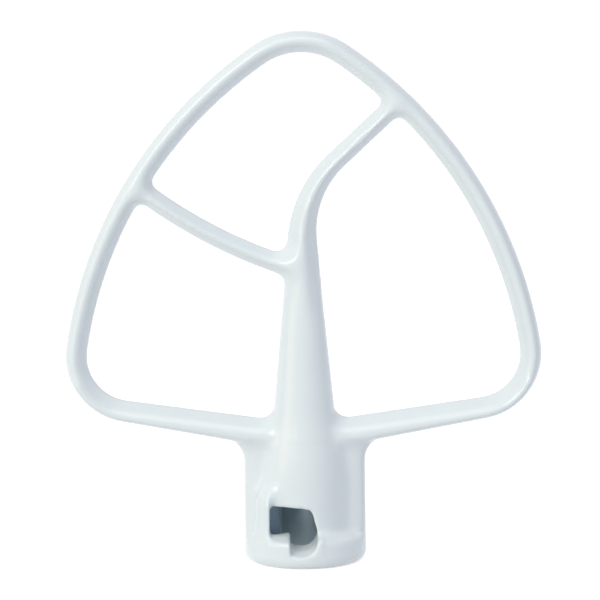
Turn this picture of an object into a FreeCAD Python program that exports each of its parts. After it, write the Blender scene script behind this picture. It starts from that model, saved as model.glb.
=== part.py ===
import FreeCAD, Part
import math
import os

# Flat beater for a stand mixer, one aluminium casting, shown standing on the end of its hub.
# Millimetres, X to the right, Y to the back, Z up, origin in the middle of the hub's end face.

V = FreeCAD.Vector
os.makedirs("parts", exist_ok=True)

# Overall shape of the frame
overall_width = 129.5
overall_height = 144.95
top_radius = 22.8
side_flatness = 2.011
shoulder_radius = 18.2
shoulder_height = 56.45
arm_slope_below = 10.5
arm_slope_above = 8.0
arm_join_half_width = 6.0

# Bars
bar_width = 6.0
cross_bar_width = 5.5
bar_half_depth = 5.8
nose = 1.2
outer_facet = 1.5
inner_facet = 4.0
crown_rise = 1.6

# Stem that leans over into the right cross bar
stem_half_width_low = 7.8
stem_half_width_high = 3.9
stem_start_above_arms = 13.4
stem_length = 48.0
right_bar_angle = 43.0
right_bar_through_x = 11.1
right_bar_through_z = 111.25
bend_radius_left = 35.0
bend_radius_right = 24.0
stem_root_below_arms = 1.0

# Left cross bar, a slow upward curve
left_bar_radius = 130.0
left_bar_root_x = -1.2
left_bar_root_z = 80.05
left_bar_root_angle = 17.0
left_bar_sweep = 30.0
left_bar_flare = 6.0

# Rounded corners of the three gaps
bar_corner = 2.2
stem_corner = 3.0
root_corner = 4.2
root_corner_zone = 10.0
least_corner_angle = 8.0

# Hub
hub_radius = 16.6
hub_foot_round = 2.6
collar_height = 8.0
collar_top_round = 1.6
boss_radius = 11.6
boss_step = 1.2
boss_top_below_arms = 5.6
cone_radius_low = 8.2
cone_taper = 0.097
cone_length = 45.0

# Side wings between collar and arms
wing_reach = 16.5
wing_half_thickness = 3.6
wing_edge_round = 2.2
wing_root_fillet = 6.5
wing_valley_fillet = 3.2

# Drive bore, pin channel and bayonet window
bore_radius = 6.4
bore_depth = 38.0
bore_mouth_chamfer = 0.8
drill_tip_radius = 0.6
drill_tip_height = 2.2
channel_width = 6.0
channel_radius = 12.7
channel_angle = 60.0
channel_top = 16.0
window_left = -9.6
window_tab = -4.1
window_right_top = 1.75
window_right_low = 4.4
window_floor = 3.4
window_tab_top = 7.1
window_rise = 1.05
window_top = 16.0
window_top_fall = 0.7
window_top_round = 2.0
window_floor_round = 4.2
window_nearest_axis = 3.0

# Housing over the pin channel
pad_radius = 15.5
pad_left = -13.9
pad_right = -9.9
pad_top = 18.9
pad_slope = 3.2
pad_step = 1.1
pad_step_share = 0.485
pad_merge = -5.6
pad_top_inset = 3.4
pad_top_left_shift = 2.9
pad_top_right_shift = 1.4
pad_inner_shift = 1.5
pad_inner_y = -2.0

# How far joined shapes reach into each other, and cutting shapes past what they cut
overlap = 0.06
clear = 1.0


def at(x, z, y=0.0):
    return V(x, y, z)


def turn(angle):
    return math.sin(angle), math.cos(angle)


def arc_about(centre, radius, start, end):
    points = []
    for angle in (start, (start + end) / 2.0, end):
        s, c = turn(angle)
        points.append(at(centre[0] + radius * s, centre[1] + radius * c))
    return Part.Arc(*points).toShape()


def line(a, b):
    return Part.makeLine(a, b)


def rounded_face(corners):
    """Face in the XZ plane from corners (x, z, radius); a radius rounds its corner."""
    count = len(corners)
    stops = []
    for i in range(count):
        x, z, radius = corners[i]
        here = at(x, z)
        before = at(*corners[i - 1][:2])
        after = at(*corners[(i + 1) % count][:2])
        if radius <= 0:
            stops.append((here, None, here))
            continue
        a = (before - here).normalize()
        b = (after - here).normalize()
        half = a.getAngle(b) / 2.0
        reach = radius / math.tan(half)
        bisector = (a + b).normalize()
        middle = here + bisector * (radius / math.sin(half) - radius)
        stops.append((here + a * reach, middle, here + b * reach))
    edges = []
    for i in range(count):
        first, middle, last = stops[i]
        if middle is not None:
            edges.append(Part.Arc(first, middle, last).toShape())
        following = stops[(i + 1) % count][0]
        edges.append(line(last, following))
    return Part.Face(Part.Wire(edges))


# Centres of the frame's arcs. The long side arc touches the top arc and the shoulder arc.
c1 = (0.0, overall_height - top_radius)
c3 = (overall_width / 2.0 - shoulder_radius, shoulder_height)
apart = math.dist(c1, c3)
side_radius = side_flatness * (apart + top_radius + shoulder_radius) / 2.0
to_top = side_radius - top_radius
to_shoulder = side_radius - shoulder_radius
along = (apart ** 2 + to_top ** 2 - to_shoulder ** 2) / (2.0 * apart)
across = math.sqrt(to_top ** 2 - along ** 2)
way = ((c3[0] - c1[0]) / apart, (c3[1] - c1[1]) / apart)
c2 = (c1[0] + along * way[0] + across * way[1], c1[1] + along * way[1] - across * way[0])
a1 = math.atan2(c1[0] - c2[0], c1[1] - c2[1])
a2 = math.atan2(c3[0] - c2[0], c3[1] - c2[1])


def arm_line(inset, slope):
    """Where the shoulder arc ends, and the height of the arm's edge on the centre line."""
    angle = math.pi - math.radians(slope)
    s, c = turn(angle)
    radius = shoulder_radius - inset
    x = c3[0] + radius * s
    z = c3[1] + radius * c
    return angle, x, z, z - x * math.tan(math.radians(slope))


def frame_face(inset, slope):
    angle, x, z, middle = arm_line(inset, slope)
    join_z = middle + arm_join_half_width * math.tan(math.radians(slope))
    half = [
        arc_about(c1, top_radius - inset, 0.0, a1),
        arc_about(c2, side_radius - inset, a1, a2),
        arc_about(c3, shoulder_radius - inset, a2, angle),
        line(at(x, z), at(arm_join_half_width, join_z)),
    ]
    other = [edge.mirror(V(0, 0, 0), V(1, 0, 0)) for edge in half]
    # the two arms are joined under the stem by an arc that both run into smoothly
    bow = arm_join_half_width / math.sin(math.radians(slope))
    arms_centre = (0.0, join_z + bow * math.cos(math.radians(slope)))
    joining = arc_about(arms_centre, bow, math.pi - math.radians(slope), math.pi + math.radians(slope))
    return Part.Face(Part.Wire(Part.__sortEdges__(half + other + [joining])))


arm_low = arm_line(0.0, arm_slope_below)[3]
stem_low = arm_low + stem_start_above_arms
stem_high = stem_low + stem_length
cone_top = stem_low + cone_length
boss_straight_top = arm_low - boss_top_below_arms


def stem_width(z):
    run = (stem_half_width_low - stem_half_width_high) / (stem_high - stem_low)
    return stem_half_width_high + run * (stem_high - z)


def stem_and_right_bar():
    lean = math.radians(right_bar_angle)
    side = (math.sin(lean), -math.cos(lean))
    half = cross_bar_width / 2.0
    end = (
        right_bar_through_x + overall_height * math.cos(lean),
        right_bar_through_z + overall_height * math.sin(lean),
    )
    run = (stem_half_width_low - stem_half_width_high) / (stem_high - stem_low)

    def edge_point(sign):
        return end[0] + sign * half * side[0], end[1] + sign * half * side[1]

    def bend(sign):
        px, pz = edge_point(sign)
        k = math.tan(lean)
        top = stem_half_width_high + run * stem_high
        z = (pz + k * (sign * top - px)) / (1.0 + sign * k * run)
        return sign * (top - run * z), z

    left = bend(-1)
    right = bend(1)
    left_end = edge_point(-1)
    right_end = edge_point(1)
    low = arm_low - stem_root_below_arms
    return rounded_face([
        (-stem_width(low), low, 0),
        (left[0], left[1], bend_radius_left),
        (left_end[0], left_end[1], 0),
        (right_end[0], right_end[1], 0),
        (right[0], right[1], bend_radius_right),
        (stem_width(low), low, 0),
    ])


def left_bar():
    root = math.radians(left_bar_root_angle)
    sweep = math.radians(left_bar_sweep)
    half = cross_bar_width / 2.0
    centre = (
        left_bar_root_x + left_bar_radius * math.sin(root),
        left_bar_root_z + left_bar_radius * math.cos(root),
    )
    middle = math.pi + root + sweep / 2.0
    edges = []
    tips = []
    for side, flatter in ((-1, 0.0), (1, left_bar_flare)):
        radius = left_bar_radius + side * half + flatter
        hub_of_arc = (centre[0] - flatter * math.sin(middle), centre[1] - flatter * math.cos(middle))
        start = middle - sweep / 2.0
        end = middle + sweep / 2.0
        edges.append(arc_about(hub_of_arc, radius, start, end))
        tips.append([at(hub_of_arc[0] + radius * math.sin(k), hub_of_arc[1] + radius * math.cos(k))
                     for k in (start, end)])
    edges.append(line(tips[0][0], tips[1][0]))
    edges.append(line(tips[0][1], tips[1][1]))
    return Part.Face(Part.Wire(Part.__sortEdges__(edges)))


def loop_of(face):
    """Outline of a flat face as steps (start, end, centre, side), run anticlockwise.

    The centre is None for a straight step; side is 1 for an arc that bulges outward, else -1.
    """
    steps = []
    for edge in face.OuterWire.OrderedEdges:
        first = edge.firstVertex(True).Point
        last = edge.lastVertex(True).Point
        middle = edge.valueAt((edge.FirstParameter + edge.LastParameter) / 2.0)
        centre = edge.Curve.Center if hasattr(edge.Curve, "Center") else None
        steps.append([(first.x, first.z), (last.x, last.z), (middle.x, middle.z),
                      None if centre is None else (centre.x, centre.z)])
    area = 0.0
    for p, q, m, c in steps:
        area += p[0] * m[1] - m[0] * p[1] + m[0] * q[1] - q[0] * m[1]
    if area < 0:
        steps = [[q, p, m, c] for p, q, m, c in reversed(steps)]
    loop = []
    for p, q, m, c in steps:
        side = 0
        if c is not None:
            turned_left = (m[0] - p[0]) * (q[1] - m[1]) - (m[1] - p[1]) * (q[0] - m[0])
            side = 1 if turned_left > 0 else -1
        loop.append((p, q, c, side))
    return loop


def outward(step, point):
    p, q, c, side = step
    if c is None:
        length = math.dist(p, q)
        return (q[1] - p[1]) / length, (p[0] - q[0]) / length
    length = math.dist(point, c)
    return side * (point[0] - c[0]) / length, side * (point[1] - c[1]) / length


def grown(step, point, amount):
    n = outward(step, point)
    return point[0] + n[0] * amount, point[1] + n[1] * amount


def heading(step, point):
    n = outward(step, point)
    return -n[1], n[0]


def crossings(first, second, inset):
    """Points that lie the inset inside both steps of a corner."""
    lines = []
    circles = []
    for step in (first, second):
        p, q, c, side = step
        if c is None:
            lines.append((grown(step, p, -inset), heading(step, p)))
        else:
            circles.append((c, math.dist(p, c) - side * inset))
    if len(lines) == 2:
        (p, d), (q, e) = lines
        k = ((q[0] - p[0]) * e[1] - (q[1] - p[1]) * e[0]) / (d[0] * e[1] - d[1] * e[0])
        return [(p[0] + k * d[0], p[1] + k * d[1])]
    if len(lines) == 1:
        (p, d), (c, r) = lines[0], circles[0]
        along = (c[0] - p[0]) * d[0] + (c[1] - p[1]) * d[1]
        foot_point = (p[0] + along * d[0], p[1] + along * d[1])
        half = math.sqrt(r * r - math.dist(foot_point, c) ** 2)
        return [(foot_point[0] + s * half * d[0], foot_point[1] + s * half * d[1]) for s in (-1, 1)]
    (a, r), (b, s) = circles
    apart = math.dist(a, b)
    along = (apart ** 2 + r * r - s * s) / (2 * apart)
    half = math.sqrt(r * r - along * along)
    d = ((b[0] - a[0]) / apart, (b[1] - a[1]) / apart)
    return [(a[0] + along * d[0] - k * half * d[1], a[1] + along * d[1] + k * half * d[0])
            for k in (-1, 1)]


def nearest(step, point):
    p, q, c, side = step
    if c is None:
        d = heading(step, p)
        along = (point[0] - p[0]) * d[0] + (point[1] - p[1]) * d[1]
        return p[0] + along * d[0], p[1] + along * d[1]
    scale = math.dist(p, c) / math.dist(point, c)
    return c[0] + (point[0] - c[0]) * scale, c[1] + (point[1] - c[1]) * scale


def soften(loop):
    """Rounds every sharp corner of a gap, wider where the arms meet the stem."""
    count = len(loop)
    starts = [step[0] for step in loop]
    ends = [step[1] for step in loop]
    corners = {}
    for i in range(count):
        step = loop[i]
        following = loop[(i + 1) % count]
        a = heading(step, step[1])
        b = heading(following, following[0])
        if a[0] * b[1] - a[1] * b[0] < math.sin(math.radians(least_corner_angle)):
            continue
        corner = step[1]
        radius = bar_corner
        if abs(corner[0]) < 3.0 * stem_half_width_high:
            radius = root_corner if corner[1] < stem_low + root_corner_zone else stem_corner
        centre = min(crossings(step, following, radius), key=lambda m: math.dist(m, corner))
        ends[i] = nearest(step, centre)
        starts[(i + 1) % count] = nearest(following, centre)
        corners[i] = (ends[i], starts[(i + 1) % count], centre, 1)
    soft = []
    for i in range(count):
        soft.append((starts[i], ends[i], loop[i][2], loop[i][3]))
        if i in corners:
            soft.append(corners[i])
    return soft


def layered(loop, steps):
    """Solid through copies of an outline, each grown by its own amount at its own depth."""
    levels = [(-d, g) for d, g in reversed(steps) if d > 0] + list(steps)
    faces = []
    for (y0, g0), (y1, g1) in zip(levels, levels[1:]):
        for step in loop:
            p, q, c, side = step
            p0 = at(*grown(step, p, g0), y0)
            p1 = at(*grown(step, p, g1), y1)
            q0 = at(*grown(step, q, g0), y0)
            q1 = at(*grown(step, q, g1), y1)
            if c is None:
                faces.append(Part.Face(Part.makePolygon([p0, q0, q1, p1, p0])))
                continue
            a = math.atan2(p[1] - c[1], p[0] - c[0])
            b = math.atan2(q[1] - c[1], q[0] - c[0])
            sweep = math.degrees((side * (b - a)) % (2 * math.pi))
            faces.append(line(p0, p1).revolve(at(*c), V(0, -side, 0), sweep))
    for y, grow in (levels[0], levels[-1]):
        edges = []
        for step in loop:
            p, q, c, side = step
            if c is None:
                edges.append(line(at(*grown(step, p, grow), y), at(*grown(step, q, grow), y)))
                continue
            a = math.atan2(p[1] - c[1], p[0] - c[0])
            b = a + side * ((side * (math.atan2(q[1] - c[1], q[0] - c[0]) - a)) % (2 * math.pi))
            radius = math.dist(p, c) + side * grow
            points = [at(c[0] + radius * math.cos(k), c[1] + radius * math.sin(k), y)
                      for k in (a, (a + b) / 2.0, b)]
            edges.append(Part.Arc(*points).toShape())
        faces.append(Part.Face(Part.Wire(edges)))
    skin_of_faces = Part.Compound(faces)
    skin_of_faces.sewShape(1e-4)
    solid = Part.Solid(skin_of_faces.Shells[0])
    if solid.Volume < 0:
        solid.reverse()
    return solid


crown = bar_half_depth - crown_rise

# Outer skin of the frame: a narrow drafted facet on each side of the parting line
skin = layered(loop_of(frame_face(0.0, arm_slope_below)), [
    (0.0, 0.0),
    (nose, -0.1 * outer_facet),
    (crown, -0.5 * outer_facet),
    (bar_half_depth, -outer_facet),
])

# Three gaps with wider drafted walls, so that each bar is left with a front and a back ridge
inside = frame_face(bar_width, arm_slope_above)
gaps = inside.cut(stem_and_right_bar()).cut(left_bar()).Faces
body = skin
for gap in gaps:
    body = body.cut(layered(soften(loop_of(gap)), [
        (0.0, 0.0),
        (nose, 0.08 * inner_facet),
        (crown, 0.61 * inner_facet),
        (bar_half_depth, inner_facet),
        (bar_half_depth + clear, 1.2 * inner_facet),
    ]))

# Hub and round stem in one turned profile
foot = hub_foot_round
lip = collar_top_round
sin45 = math.sin(math.radians(45))
cone_end = cone_radius_low - cone_taper * (cone_top - stem_low)
blend_reach = 0.3 * (stem_low - boss_straight_top)
blend = Part.BezierCurve()
blend.setPoles([
    V(boss_radius, 0, boss_straight_top),
    V(boss_radius, 0, boss_straight_top + blend_reach),
    V(cone_radius_low + cone_taper * blend_reach, 0, stem_low - blend_reach),
    V(cone_radius_low, 0, stem_low),
])
profile = [
    line(V(0, 0, 0), V(hub_radius - foot, 0, 0)),
    Part.Arc(
        V(hub_radius - foot, 0, 0),
        V(hub_radius - foot + foot * sin45, 0, foot - foot * sin45),
        V(hub_radius, 0, foot),
    ).toShape(),
    line(V(hub_radius, 0, foot), V(hub_radius, 0, collar_height - lip)),
    Part.Arc(
        V(hub_radius, 0, collar_height - lip),
        V(hub_radius - lip + lip * sin45, 0, collar_height - lip + lip * sin45),
        V(hub_radius - lip, 0, collar_height),
    ).toShape(),
    line(V(hub_radius - lip, 0, collar_height), V(boss_radius + boss_step, 0, collar_height)),
    line(V(boss_radius + boss_step, 0, collar_height), V(boss_radius, 0, collar_height + boss_step)),
    line(V(boss_radius, 0, collar_height + boss_step), V(boss_radius, 0, boss_straight_top)),
    blend.toShape(),
    line(V(cone_radius_low, 0, stem_low), V(cone_end, 0, cone_top)),
    line(V(cone_end, 0, cone_top), V(0, 0, cone_top)),
    line(V(0, 0, cone_top), V(0, 0, 0)),
]
turned = Part.Face(Part.Wire(profile)).revolve(V(0, 0, 0), V(0, 0, 1), 360)

# Wings: flat webs from the collar up into the arms, with rounded outer edges
slope = math.tan(math.radians(arm_slope_below))
web_z = arm_low + 0.4
spread = wing_reach + 9.5
wing_low = 1.5
hidden = wing_edge_round + 0.2
wing_end = 2.1 * hidden
wing_face = rounded_face([
    (-wing_reach, wing_low, hidden),
    (wing_reach, wing_low, hidden),
    (wing_reach, web_z + slope * wing_reach, wing_root_fillet),
    (spread, web_z + slope * spread, hidden),
    (spread, web_z + slope * spread + wing_end, hidden),
    (0.0, arm_low + wing_end, 5.0 * hidden),
    (-spread, web_z + slope * spread + wing_end, hidden),
    (-spread, web_z + slope * spread, hidden),
    (-wing_reach, web_z + slope * wing_reach, wing_root_fillet),
])
wings = layered(loop_of(wing_face), [
    (0.0, 0.0),
    (0.4 * wing_half_thickness, -0.1 * wing_edge_round),
    (0.8 * wing_half_thickness, -0.45 * wing_edge_round),
    (wing_half_thickness, -wing_edge_round),
])


# Hollow fillets in the four valleys between the boss and the wings, narrowing with the boss
def valley_wire(radius, z):
    wall = wing_half_thickness - overlap
    reach = radius - overlap + wing_valley_fillet
    out = wall + wing_valley_fillet
    centre = V(math.sqrt(reach ** 2 - out ** 2), -out, z)
    on_boss = centre + V(-centre.x, -centre.y, 0).normalize() * wing_valley_fillet
    on_wing = centre + V(0, wing_valley_fillet, 0)
    middle = centre + ((on_boss + on_wing) * 0.5 - centre).normalize() * wing_valley_fillet
    return Part.Wire([
        Part.Arc(on_boss, middle, on_wing).toShape(),
        line(on_wing, V(on_wing.x, 0, z)),
        line(V(on_wing.x, 0, z), V(0, 0, z)),
        line(V(0, 0, z), on_boss),
    ])


valley_foot = 0.7 * collar_height
valley_top = arm_low + wing_valley_fillet
blend_low = min(range(101), key=lambda k: abs(blend.value(k / 100.0).z - valley_top)) / 100.0
valley = Part.makeLoft([
    valley_wire(boss_radius, valley_foot),
    valley_wire(boss_radius, boss_straight_top),
    valley_wire(blend.value(blend_low).x, valley_top),
], True, True)
valleys = [valley, valley.mirror(V(0, 0, 0), V(1, 0, 0))]
valleys += [side.mirror(V(0, 0, 0), V(0, 1, 0)) for side in valleys]


# Housing over the pin channel, a raised pad left of the window. A short step leads down from
# its right edge to a face that runs out into the boss.
def on_circle(x, radius, z):
    return V(x, -math.sqrt(radius ** 2 - x ** 2), z)


def pad_wire(radius, left, right, z):
    outer_left = on_circle(left, radius, z)
    outer_right = on_circle(right, radius, z)
    angle = (math.atan2(outer_left.y, outer_left.x) + math.atan2(outer_right.y, outer_right.x)) / 2.0
    middle = V(radius * math.cos(angle), radius * math.sin(angle), z)
    step_foot = on_circle(right + pad_step, pad_step_share * (radius + boss_radius), z)
    merge = on_circle(pad_merge, boss_radius - overlap, z)
    inner_right = V(pad_merge + pad_inner_shift, pad_inner_y, z)
    inner_left = V(left + pad_inner_shift, pad_inner_y, z)
    return Part.Wire([
        Part.Arc(outer_left, middle, outer_right).toShape(),
        line(outer_right, step_foot),
        line(step_foot, merge),
        line(merge, inner_right),
        line(inner_right, inner_left),
        line(inner_left, outer_left),
    ])


pad = Part.makeLoft([
    pad_wire(pad_radius, pad_left, pad_right, 0.6 * collar_height),
    pad_wire(pad_radius, pad_left, pad_right, pad_top),
    pad_wire(pad_radius - pad_top_inset, pad_left + pad_top_left_shift,
             pad_right + pad_top_right_shift, pad_top + pad_slope),
], True, True)

# Drive bore from below, with a chamfered mouth and a drilled end
bore = Part.makeCylinder(bore_radius, bore_depth, V(0, 0, 0), V(0, 0, 1))
drill_end = Part.makeCone(bore_radius, drill_tip_radius, drill_tip_height, V(0, 0, bore_depth), V(0, 0, 1))
mouth = Part.makeCone(
    bore_radius + bore_mouth_chamfer + clear, bore_radius - clear, bore_mouth_chamfer + 2.0 * clear,
    V(0, 0, -clear), V(0, 0, 1),
)

# Pin channel from the mouth up to the window
channel = Part.makeBox(channel_radius + clear, channel_width, channel_top + clear,
                       V(0, -channel_width / 2.0, -clear))
channel.rotate(V(0, 0, 0), V(0, 0, 1), 270.0 - channel_angle)
channel = channel.common(Part.makeCylinder(channel_radius, channel_top + 2.0 * clear, V(0, 0, -clear)))

# Bayonet window with its pocket and tab, cored out from the front. Its floors rise towards
# the bore, the draft of the core that made it.
def window_wire(y):
    lift = window_rise * (hub_radius + y) / (hub_radius - bore_radius)
    face = rounded_face([
        (window_left, window_tab_top + lift, 0),
        (window_left, window_top, 0),
        (window_right_top, window_top - window_top_fall, window_top_round),
        (window_right_low, window_floor + lift, window_floor_round),
        (window_tab, window_floor + lift, 0),
        (window_tab, window_tab_top + lift, 0),
    ])
    face.translate(V(0, y, 0))
    return face.OuterWire


window = Part.makeLoft([window_wire(-window_nearest_axis), window_wire(-hub_radius - clear)], True, True)

body = body.fuse([turned, wings, pad] + valleys)
body = body.cut([bore, drill_end, mouth, channel, window])
body = body.removeSplitter()
body = body.Solids[0] if len(body.Solids) == 1 else body
print("solids", len(body.Solids), "valid", body.isValid(), "volume", round(body.Volume / 1000.0, 2))
body.exportStep("parts/flat_beater.step")
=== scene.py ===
import math

import bpy
from mathutils import Matrix, Vector


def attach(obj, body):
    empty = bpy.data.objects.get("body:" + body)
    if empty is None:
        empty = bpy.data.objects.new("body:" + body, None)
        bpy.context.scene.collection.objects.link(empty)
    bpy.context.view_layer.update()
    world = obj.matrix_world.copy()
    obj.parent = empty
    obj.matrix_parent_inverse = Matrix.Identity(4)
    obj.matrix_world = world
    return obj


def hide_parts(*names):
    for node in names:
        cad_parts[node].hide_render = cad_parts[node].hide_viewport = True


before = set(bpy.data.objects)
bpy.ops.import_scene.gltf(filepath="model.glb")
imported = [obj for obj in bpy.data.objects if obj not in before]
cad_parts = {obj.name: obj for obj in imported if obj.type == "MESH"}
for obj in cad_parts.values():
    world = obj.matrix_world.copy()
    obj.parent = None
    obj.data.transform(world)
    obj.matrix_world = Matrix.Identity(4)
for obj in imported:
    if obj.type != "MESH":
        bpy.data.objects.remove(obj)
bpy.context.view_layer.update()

# The casting: the whole beater is one piece of cast aluminium, with its frame, bars, stem
# and hub poured together. The thick white coat, sprayed on hot, rounds each of its ridges
# and fills each corner, so the metal's form is rebuilt here as one even skin and softened.
merge_reach = 0.000002
coat_grain = 0.00055
first_smoothing, ridge_smoothing, hub_smoothing = 5, 180, 80
smoothing_step = 0.5

inner_bar_softness = 0.2
frame_bar = 0.009
frame_top = 0.131
arm_top = 0.05
ridge_start, ridge_blend, side_softness = 0.0015, 0.0025, 0.06
stem_foot, stem_blend = 0.026, 0.006

foot_top, hub_top = 0.0035, 0.034
hub_radius = 0.0166
bore_wall = 0.0078
wing_edge, wing_round = 0.0158, 0.0015

window_middle, window_reach, window_top = -0.0026, 0.0078, 0.0168
rise_reach, rise_blend = 0.0092, 0.002
ledge_rise, ledge_depth = 0.0007, 0.004
ledge_foot, ledge_blend = 0.0005, 0.002
tab_top, tab_blend = 0.008, 0.005
lintel_rise, lintel_end, lintel_blend = 0.00045, 0.021, 0.004

cast_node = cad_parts["flat_beater"]
beater = bpy.data.objects.new("coated_beater", cast_node.data.copy())
bpy.context.scene.collection.objects.link(beater)
beater.data.materials.clear()
bpy.ops.object.select_all(action="DESELECT")
beater.select_set(True)
bpy.context.view_layer.objects.active = beater
bpy.ops.object.mode_set(mode="EDIT")
bpy.ops.mesh.select_all(action="SELECT")
bpy.ops.mesh.remove_doubles(threshold=merge_reach)
bpy.ops.object.mode_set(mode="OBJECT")

bpy.ops.object.modifier_add(type="REMESH")
skin = beater.modifiers[-1]
skin.mode = "VOXEL"
skin.voxel_size = coat_grain
skin.use_smooth_shade = True
bpy.ops.object.modifier_apply(modifier=skin.name)


def level_of(height):
    """The whole millimetre that a height is nearest to."""
    return round(height * 1000)


def ramp(value, start, length):
    """0 up to start, 1 from start + length on, and a straight rise between."""
    return min(max((value - start) / length, 0), 1)


frame_edge = {}
for point in beater.data.vertices:
    level = level_of(point.co.z)
    frame_edge[level] = max(frame_edge.get(level, 0), abs(point.co.x))

ridges = beater.vertex_groups.new(name="ridges")
hub_corners = beater.vertex_groups.new(name="hub_corners")
for point in beater.data.vertices:
    x, y, z = point.co
    in_frame = abs(x) > frame_edge[level_of(z)] - frame_bar or z > frame_top
    softness = 1 if in_frame and z > arm_top else inner_bar_softness
    forward = max(ramp(abs(y), ridge_start, ridge_blend), side_softness)
    above_hub = ramp(z, stem_foot, stem_blend)
    ridges.add([point.index], softness * forward * above_hub, "REPLACE")

    outside = math.hypot(x, y) > bore_wall and foot_top < z < hub_top
    near_window = y < 0 and abs(x - window_middle) < window_reach and z < window_top
    if outside and not near_window:
        hub_corners.add([point.index], ramp(wing_edge - abs(x), 0, wing_round), "REPLACE")

    # Inside the window the ledge and the tab slope up from the hub's face, and the window's
    # top edge sits a little higher than it would without this.
    if y < 0:
        across = ramp(rise_reach - abs(x - window_middle), 0, rise_blend)
        above_tab = ramp(z, tab_top, tab_blend)
        inward = ramp(hub_radius - math.hypot(x, y), 0, ledge_depth)
        at_ledge = inward * ramp(z, ledge_foot, ledge_blend) * (1 - above_tab)
        at_lintel = above_tab * ramp(lintel_end - z, 0, lintel_blend)
        point.co.z += across * (ledge_rise * at_ledge + lintel_rise * at_lintel)

for times, group in (
    (first_smoothing, ""),
    (ridge_smoothing, "ridges"),
    (hub_smoothing, "hub_corners"),
):
    bpy.ops.object.modifier_add(type="SMOOTH")
    softening = beater.modifiers[-1]
    softening.factor = smoothing_step
    softening.iterations = times
    softening.vertex_group = group
    bpy.ops.object.modifier_apply(modifier=softening.name)
bpy.ops.object.shade_smooth()

# The finish: a semi-gloss white nylon coat that the spray leaves very slightly uneven. The
# drilled drive bore and the cast channel for the shaft's pin are masked off before the coat
# goes on, so that the shaft fits, and show bare aluminium.
bore_radius = 0.0064
bore_end = 0.04
channel_half_width = 0.003
channel_reach = 0.0127
channel_turn = math.radians(60)
channel_top = 0.016
bare_margin = 0.00035
bare_blend = 0.00025

coat_tones = (0.85, 0.89, 0.91, 1), (0.87, 0.91, 0.93, 1)
# The channel's metal tones are darker than the bore's: painted shade on the left side of the
# window's inside.
channel_metal_painted_shade_tones = (0.2, 0.29, 0.37, 1), (0.32, 0.42, 0.51, 1)
bore_metal_tones = (0.38, 0.47, 0.52, 1), (0.52, 0.62, 0.66, 1)
tone_scale, tone_detail = 70, 3
stain_scale, stain_detail = 260, 5
peel_scale, peel_detail = 700, 2
peel_strength, peel_depth = 0.12, 0.00008
bare_metallic = 0.6
coat_roughness, uneven_roughness, bare_roughness = 0.2, 0.08, 0.25
top_coat_weight, top_coat_roughness = 0.35, 0.12
nylon_index = 1.5

finish = bpy.data.materials.new("white_nylon_coat")
finish.use_nodes = True
nodes, links = finish.node_tree.nodes, finish.node_tree.links
shader = nodes["Principled BSDF"]
shader.inputs["IOR"].default_value = nylon_index
shader.inputs["Coat Roughness"].default_value = top_coat_roughness
shader.inputs["Coat IOR"].default_value = nylon_index
place = nodes.new("ShaderNodeTexCoord")


def maths(operation, first, second, clamp=False):
    """A Math node, from numbers or from other nodes' sockets."""
    node = nodes.new("ShaderNodeMath")
    node.operation = operation
    node.use_clamp = clamp
    for socket, value in zip(node.inputs, (first, second)):
        if isinstance(value, (int, float)):
            socket.default_value = value
        else:
            links.new(value, socket)
    return node.outputs["Value"]


def between(share, low, high):
    """The colour that lies this share of the way from low to high."""
    node = nodes.new("ShaderNodeMix")
    node.data_type = "RGBA"
    links.new(share, node.inputs["Factor"])
    for socket, value in ((node.inputs["A"], low), (node.inputs["B"], high)):
        if isinstance(value, tuple):
            socket.default_value = value
        else:
            links.new(value, socket)
    return node.outputs["Result"]


def inside(value, limit):
    """1 where value is under the limit, 0 past it, over a short blend."""
    return maths("DIVIDE", maths("SUBTRACT", limit + bare_blend, value), bare_blend, clamp=True)


def cloud(scale, detail):
    """An uneven pattern that is fixed to the casting."""
    node = nodes.new("ShaderNodeTexNoise")
    node.inputs["Scale"].default_value = scale
    node.inputs["Detail"].default_value = detail
    links.new(place.outputs["Object"], node.inputs["Vector"])
    return node.outputs["Fac"]


axes = nodes.new("ShaderNodeSeparateXYZ")
links.new(place.outputs["Object"], axes.inputs[0])
flat = nodes.new("ShaderNodeCombineXYZ")
links.new(axes.outputs["X"], flat.inputs["X"])
links.new(axes.outputs["Y"], flat.inputs["Y"])
from_axis = nodes.new("ShaderNodeVectorMath")
from_axis.operation = "LENGTH"
links.new(flat.outputs[0], from_axis.inputs[0])
reach = from_axis.outputs["Value"]

in_bore = inside(reach, bore_radius + bare_margin)
across = maths(
    "ADD",
    maths("MULTIPLY", axes.outputs["X"], math.cos(channel_turn)),
    maths("MULTIPLY", axes.outputs["Y"], -math.sin(channel_turn)),
)
in_channel = inside(maths("ABSOLUTE", across, 0), channel_half_width + bare_margin)
for part in (
    inside(reach, channel_reach + bare_margin),
    inside(axes.outputs["Z"], channel_top + bare_margin),
    maths("LESS_THAN", axes.outputs["X"], 0),
):
    in_channel = maths("MULTIPLY", in_channel, part)
in_hub = maths("LESS_THAN", axes.outputs["Z"], bore_end)
bare = maths("MULTIPLY", maths("MAXIMUM", in_bore, in_channel), in_hub)

tone = cloud(tone_scale, tone_detail)
stain = cloud(stain_scale, stain_detail)
coat_colour = between(tone, *coat_tones)
# The channel's bare metal takes the darker tones and the bore's the lighter ones, so the left
# side of the window's inside is painted with shade.
channel_metal_painted_shade = between(stain, *channel_metal_painted_shade_tones)
bore_metal = between(stain, *bore_metal_tones)
metal_colour = between(in_bore, channel_metal_painted_shade, bore_metal)
links.new(between(bare, coat_colour, metal_colour), shader.inputs["Base Color"])
links.new(maths("MULTIPLY", bare, bare_metallic), shader.inputs["Metallic"])
roughness = maths("ADD", maths("MULTIPLY", tone, uneven_roughness), coat_roughness)
roughness = maths("ADD", roughness, maths("MULTIPLY", bare, bare_roughness))
links.new(roughness, shader.inputs["Roughness"])
coated = maths("SUBTRACT", 1, bare)
links.new(maths("MULTIPLY", coated, top_coat_weight), shader.inputs["Coat Weight"])

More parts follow.
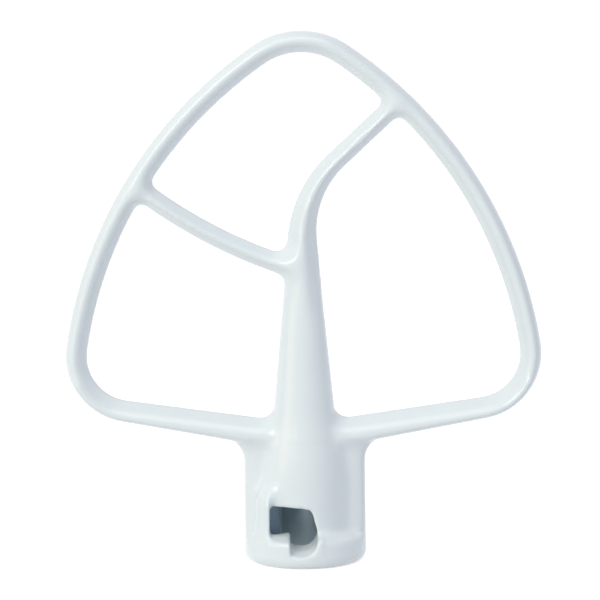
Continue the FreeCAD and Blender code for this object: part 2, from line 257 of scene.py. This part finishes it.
relief = nodes.new("ShaderNodeBump")
relief.inputs["Strength"].default_value = peel_strength
relief.inputs["Distance"].default_value = peel_depth
links.new(cloud(peel_scale, peel_detail), relief.inputs["Height"])
links.new(relief.outputs["Normal"], shader.inputs["Normal"])

beater.data.materials.append(finish)
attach(beater, "root")
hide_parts("flat_beater")

# The table: a plain pale sheet that the beater stands on. It carries the contact shadow
# and throws soft light up at the undersides of the arms.
table_side = 8
table_colour = (0.8, 0.8, 0.8, 1)
table_glow = 0.66


def seen():
    """1 for what the camera sees, straight or through gloss and glass, and 0 for other light."""
    ray = nodes.new("ShaderNodeLightPath")
    straight = maths("MAXIMUM", ray.outputs["Is Camera Ray"], ray.outputs["Is Glossy Ray"])
    return maths("MAXIMUM", straight, ray.outputs["Is Transmission Ray"])


bpy.ops.object.select_all(action="DESELECT")
bpy.ops.mesh.primitive_plane_add(size=table_side, location=(0, 0, 0))
table = bpy.context.object
table.name = "table"
paper = bpy.data.materials.new("pale_table")
paper.use_nodes = True
nodes, links = paper.node_tree.nodes, paper.node_tree.links
nodes.clear()
sheet = nodes.new("ShaderNodeBsdfDiffuse")
sheet.inputs["Color"].default_value = table_colour
glow = nodes.new("ShaderNodeEmission")
links.new(maths("MULTIPLY", seen(), table_glow), glow.inputs["Strength"])
both = nodes.new("ShaderNodeAddShader")
links.new(sheet.outputs[0], both.inputs[0])
links.new(glow.outputs[0], both.inputs[1])
out = nodes.new("ShaderNodeOutputMaterial")
links.new(both.outputs[0], out.inputs["Surface"])
table.data.materials.append(paper)

# The light: a white room all round, whose shaded side is a little blue, and three soft lamps:
# the main one high on the left in front, one overhead and a weak warm one low on the left.
room_colour, room_strength = (0.805, 0.861, 1, 1), 0.54
backdrop_colour, backdrop_strength = (1, 1, 1, 1), 1
beater_middle = Vector((0, 0, 0.07))

world = bpy.data.worlds.new("white_room")
bpy.context.scene.world = world
world.use_nodes = True
nodes, links = world.node_tree.nodes, world.node_tree.links
nodes.clear()
room = nodes.new("ShaderNodeBackground")
room.inputs["Color"].default_value = room_colour
room.inputs["Strength"].default_value = room_strength
backdrop = nodes.new("ShaderNodeBackground")
backdrop.inputs["Color"].default_value = backdrop_colour
backdrop.inputs["Strength"].default_value = backdrop_strength
choice = nodes.new("ShaderNodeMixShader")
links.new(seen(), choice.inputs[0])
links.new(room.outputs[0], choice.inputs[1])
links.new(backdrop.outputs[0], choice.inputs[2])
out = nodes.new("ShaderNodeOutputWorld")
links.new(choice.outputs[0], out.inputs["Surface"])

for name, position, size, power, colour in (
    ("key_lamp", (-0.75, -0.9, 0.75), 0.7, 6.1, (0.93, 1, 0.86)),
    ("top_lamp", (0.05, -0.35, 1.15), 0.8, 2.6, (1, 0.98, 0.88)),
    ("low_lamp", (-1.1, -0.55, 0.15), 0.6, 1.3, (1, 0.7, 0.3)),
):
    lamp = bpy.data.lights.new(name, "AREA")
    lamp.shape = "SQUARE"
    lamp.size = size
    lamp.energy = power
    lamp.color = colour
    holder = bpy.data.objects.new(name, lamp)
    holder.location = position
    holder.rotation_euler = (beater_middle - Vector(position)).to_track_quat("-Z", "Y").to_euler()
    bpy.context.scene.collection.objects.link(holder)

# The camera stands 1.3 m off, nine degrees above the table, and looks at the middle of the
# frame. Its turn, roll and zoom follow the photograph's outline.
look_at = Vector((0, 0, 0.073))
distance = 1.3
elevation = math.radians(9.274)
yaw = math.radians(0.293)
roll = math.radians(-0.626)
frame_pixels = 600
focal_pixels = 4793.56
centre_column = 302.898
centre_row = 294.679
sensor = 36
farthest_seen = 20

back = Vector(
    (
        math.sin(yaw) * math.cos(elevation),
        -math.cos(yaw) * math.cos(elevation),
        math.sin(elevation),
    )
)
level_right = Vector((0, 0, 1)).cross(back).normalized()
upright = back.cross(level_right)
right = math.cos(roll) * level_right + math.sin(roll) * upright
upward = math.cos(roll) * upright - math.sin(roll) * level_right
lens = bpy.data.cameras.new("camera")
lens.sensor_width = sensor
lens.lens = focal_pixels / frame_pixels * sensor
lens.shift_x = (frame_pixels / 2 - centre_column) / frame_pixels
lens.shift_y = (centre_row - frame_pixels / 2) / frame_pixels
lens.clip_end = farthest_seen
camera = bpy.data.objects.new("camera", lens)
camera.matrix_world = Matrix.Translation(look_at + back * distance) @ Matrix(
    (
        (right.x, upward.x, back.x),
        (right.y, upward.y, back.y),
        (right.z, upward.z, back.z),
    )
).to_4x4()
bpy.context.scene.collection.objects.link(camera)
bpy.context.scene.camera = camera
bpy.context.scene.view_settings.view_transform = "Standard"
